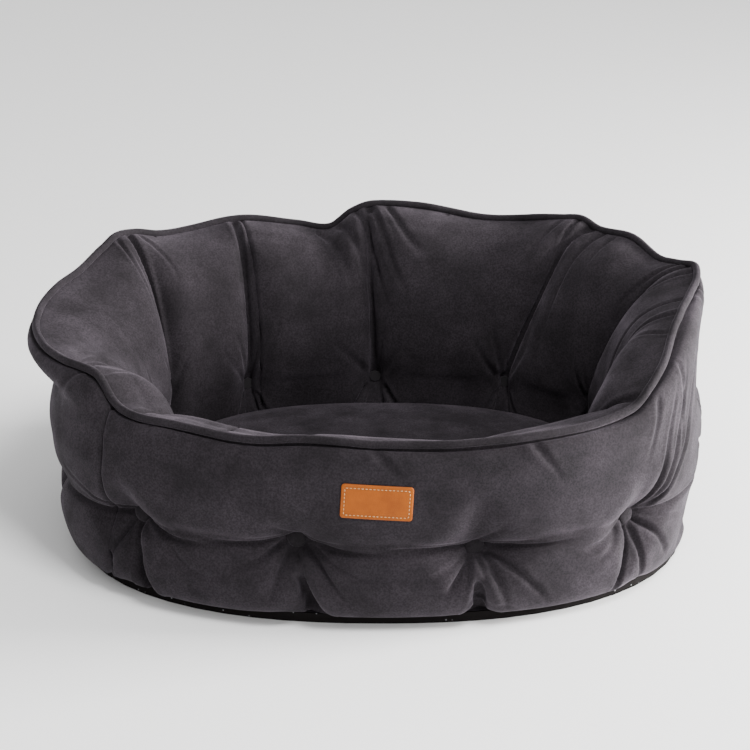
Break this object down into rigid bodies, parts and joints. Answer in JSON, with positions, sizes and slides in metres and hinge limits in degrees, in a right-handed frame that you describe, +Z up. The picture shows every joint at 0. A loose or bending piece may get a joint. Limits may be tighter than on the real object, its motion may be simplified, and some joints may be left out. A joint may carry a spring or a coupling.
{
  "type": "pet cushion bed",
  "caption": "Oval pet bed with a tall padded wall tufted with covered buttons, a lower front lip, piped rim, leather label and a loose zipped cushion inside.",
  "frame": {"origin": "on the floor under the middle of the base", "axes": "+Z up, -Y towards the low front lip with the label, +X along the bed's length"},
  "size_m": [0.5958, 0.4498, 0.2334],
  "materials": {
    "outer_velvet": "short-pile slate grey velvet",
    "inner_velvet": "short-pile slate grey velvet",
    "piping_velvet": "short-pile slate grey velvet, cut on the bias",
    "button_velvet": "short-pile slate grey velvet over a button form",
    "cushion_velvet": "short-pile slate grey velvet",
    "base_lining": "short-pile slate grey velvet",
    "cotton_cord": "twisted cotton",
    "tuft_thread": "twisted polyester twine",
    "wall_wadding": "loose polyester fibre",
    "base_wadding": "flat polyester wadding",
    "cushion_wadding": "loose polyester fibre",
    "grip_fabric": "black woven fabric with small grip dots",
    "label_leather": "tan, smooth, lightly waxed",
    "label_stitching": "waxed thread",
    "zip_tape": "woven tape",
    "zip_coil": "nylon coil",
    "zip_metal": "dark coated metal"
  },
  "bodies": {
    "bed": {"base_grip_underside": "grip_fabric", "base_lining": "base_lining", "base_wadding": "base_wadding", "inner_panel_front_left": "inner_velvet", "inner_panel_front_right": "inner_velvet", "inner_panel_rear": "inner_velvet", "label_leather": "label_leather", "label_stitching": "label_stitching", "outer_panel_front": "outer_velvet", "outer_panel_left": "outer_velvet", "outer_panel_rear": "outer_velvet", "outer_panel_right": "outer_velvet", "rim_piping_cord": "cotton_cord", "rim_piping_cover": "piping_velvet", "tuft_button_01": "button_velvet", "tuft_button_02": "button_velvet", "tuft_button_03": "button_velvet", "tuft_button_04": "button_velvet", "tuft_button_05": "button_velvet", "tuft_button_06": "button_velvet", "tuft_button_07": "button_velvet", "tuft_button_08": "button_velvet", "tuft_button_09": "button_velvet", "tuft_button_10": "button_velvet", "tuft_button_11": "button_velvet", "tuft_tie_01": "tuft_thread", "tuft_tie_02": "tuft_thread", "tuft_tie_03": "tuft_thread", "tuft_tie_04": "tuft_thread", "tuft_tie_05": "tuft_thread", "tuft_tie_06": "tuft_thread", "tuft_tie_07": "tuft_thread", "tuft_tie_08": "tuft_thread", "tuft_tie_09": "tuft_thread", "tuft_tie_10": "tuft_thread", "tuft_tie_11": "tuft_thread", "wall_fill_01": "wall_wadding", "wall_fill_02": "wall_wadding", "wall_fill_03": "wall_wadding", "wall_fill_04": "wall_wadding", "wall_fill_05": "wall_wadding", "wall_fill_06": "wall_wadding", "wall_fill_07": "wall_wadding", "wall_fill_08": "wall_wadding", "wall_fill_09": "wall_wadding", "wall_fill_10": "wall_wadding", "wall_fill_11": "wall_wadding"},
    "cushion": {"cushion_cover_bottom": "cushion_velvet", "cushion_cover_top": "cushion_velvet", "cushion_fill": "cushion_wadding", "cushion_piping": "cushion_velvet", "cushion_zip_coil": "zip_coil", "cushion_zip_stop_left": "zip_metal", "cushion_zip_stop_right": "zip_metal", "cushion_zip_tape": "zip_tape"},
    "zip_slider": {"cushion_zip_slider": "zip_metal"}
  },
  "joints": [
    {"name": "cushion_lift", "type": "slide", "parent": "bed", "child": "cushion", "axis": [0, 0, 1], "range_m": [0, 0.25]},
    {"name": "zip_slide", "type": "slide", "parent": "cushion", "child": "zip_slider", "axis": [-1, 0, 0], "range_m": [0, 0.187]}
  ]
}
